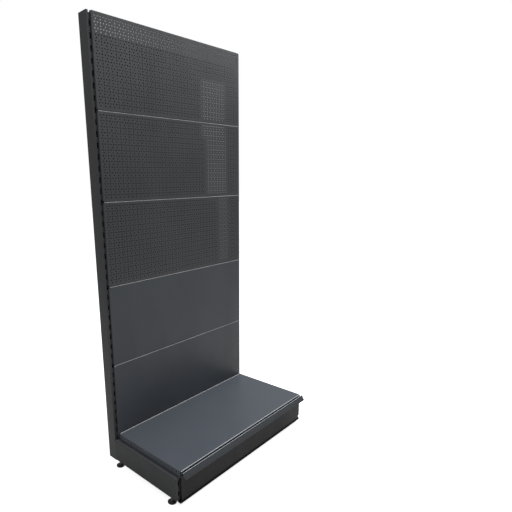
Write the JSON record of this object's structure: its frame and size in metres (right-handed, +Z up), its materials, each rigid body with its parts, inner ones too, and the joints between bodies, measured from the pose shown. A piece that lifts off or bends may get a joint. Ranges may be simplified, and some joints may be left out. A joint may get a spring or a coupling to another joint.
{
  "type": "gondola shelving unit",
  "caption": "Wall bay of gondola shelving: slotted uprights, hook-in perforated and plain back panels, base shelf with price channel, plinth and levelling feet.",
  "frame": {"origin": "on the floor, in the middle of the bay's outline", "axes": "+Z up, the front faces -Y, +X to the right seen from the front"},
  "size_m": [1.042, 0.5534, 2.15],
  "materials": {
    "upright_coat": "satin anthracite powder coat",
    "panel_coat": "satin anthracite powder coat",
    "foot_coat": "satin anthracite powder coat",
    "shelf_coat": "satin anthracite powder coat",
    "plinth_coat": "satin anthracite powder coat",
    "channel": "satin grey extrusion",
    "label": "smooth grey blank strip",
    "seal": "matt black",
    "pad": "black moulded nylon",
    "zinc": "zinc plated"
  },
  "bodies": {
    "frame": {"upright_left": "upright_coat", "upright_right": "upright_coat", "perforated_panel_top": "panel_coat", "perforated_panel_middle": "panel_coat", "perforated_panel_lower": "panel_coat", "plain_panel_upper": "panel_coat", "plain_panel_lower": "panel_coat", "base_foot_left": "foot_coat", "base_foot_right": "foot_coat", "plinth": "plinth_coat", "plinth_bracket_left": "plinth_coat", "plinth_bracket_right": "plinth_coat", "plinth_seal": "seal", "leveller_nuts": "zinc"},
    "base_shelf": {"base_shelf": "shelf_coat", "shelf_stiffener_front": "shelf_coat", "shelf_stiffener_rear": "shelf_coat", "price_channel": "channel"},
    "label_strip": {"price_label_strip": "label"},
    "leveller_front_left": {"leveller_pad_front_left": "pad"},
    "stem_front_left": {"leveller_stem_front_left": "zinc"},
    "leveller_front_right": {"leveller_pad_front_right": "pad"},
    "stem_front_right": {"leveller_stem_front_right": "zinc"},
    "leveller_rear_left": {"leveller_pad_rear_left": "pad"},
    "stem_rear_left": {"leveller_stem_rear_left": "zinc"},
    "leveller_rear_right": {"leveller_pad_rear_right": "pad"},
    "stem_rear_right": {"leveller_stem_rear_right": "zinc"}
  },
  "joints": [
    {"name": "base_shelf_lift", "type": "slide", "parent": "frame", "child": "base_shelf", "axis": [0, 0, 1], "range_m": [0, 0.12]},
    {"name": "label_strip_slide", "type": "slide", "parent": "base_shelf", "child": "label_strip", "axis": [1, 0, 0], "range_m": [-0.3, 0.3]},
    {"name": "leveller_height_front_left", "type": "slide", "parent": "frame", "child": "leveller_front_left", "axis": [0, 0, -1], "range_m": [-0.0081, 0.0151]},
    {"name": "leveller_turn_front_left", "type": "hinge", "parent": "leveller_front_left", "child": "stem_front_left", "pos_m": [-0.5, -0.188, 0], "axis": [0, 0, -1], "range_deg": [-2304, 4320]},
    {"name": "leveller_height_front_right", "type": "slide", "parent": "frame", "child": "leveller_front_right", "axis": [0, 0, -1], "range_m": [-0.0081, 0.0151]},
    {"name": "leveller_turn_front_right", "type": "hinge", "parent": "leveller_front_right", "child": "stem_front_right", "pos_m": [0.5, -0.188, 0], "axis": [0, 0, -1], "range_deg": [-2304, 4320]},
    {"name": "leveller_height_rear_left", "type": "slide", "parent": "frame", "child": "leveller_rear_left", "axis": [0, 0, -1], "range_m": [-0.0081, 0.0151]},
    {"name": "leveller_turn_rear_left", "type": "hinge", "parent": "leveller_rear_left", "child": "stem_rear_left", "pos_m": [-0.5, 0.203, 0], "axis": [0, 0, -1], "range_deg": [-2304, 4320]},
    {"name": "leveller_height_rear_right", "type": "slide", "parent": "frame", "child": "leveller_rear_right", "axis": [0, 0, -1], "range_m": [-0.0081, 0.0151]},
    {"name": "leveller_turn_rear_right", "type": "hinge", "parent": "leveller_rear_right", "child": "stem_rear_right", "pos_m": [0.5, 0.203, 0], "axis": [0, 0, -1], "range_deg": [-2304, 4320]}
  ],
  "couplings": [
    {"joint": "leveller_height_front_left", "follows": "leveller_turn_front_left", "m_per_rad": 0.00019894},
    {"joint": "leveller_height_front_right", "follows": "leveller_turn_front_right", "m_per_rad": 0.00019894},
    {"joint": "leveller_height_rear_left", "follows": "leveller_turn_rear_left", "m_per_rad": 0.00019894},
    {"joint": "leveller_height_rear_right", "follows": "leveller_turn_rear_right", "m_per_rad": 0.00019894}
  ]
}
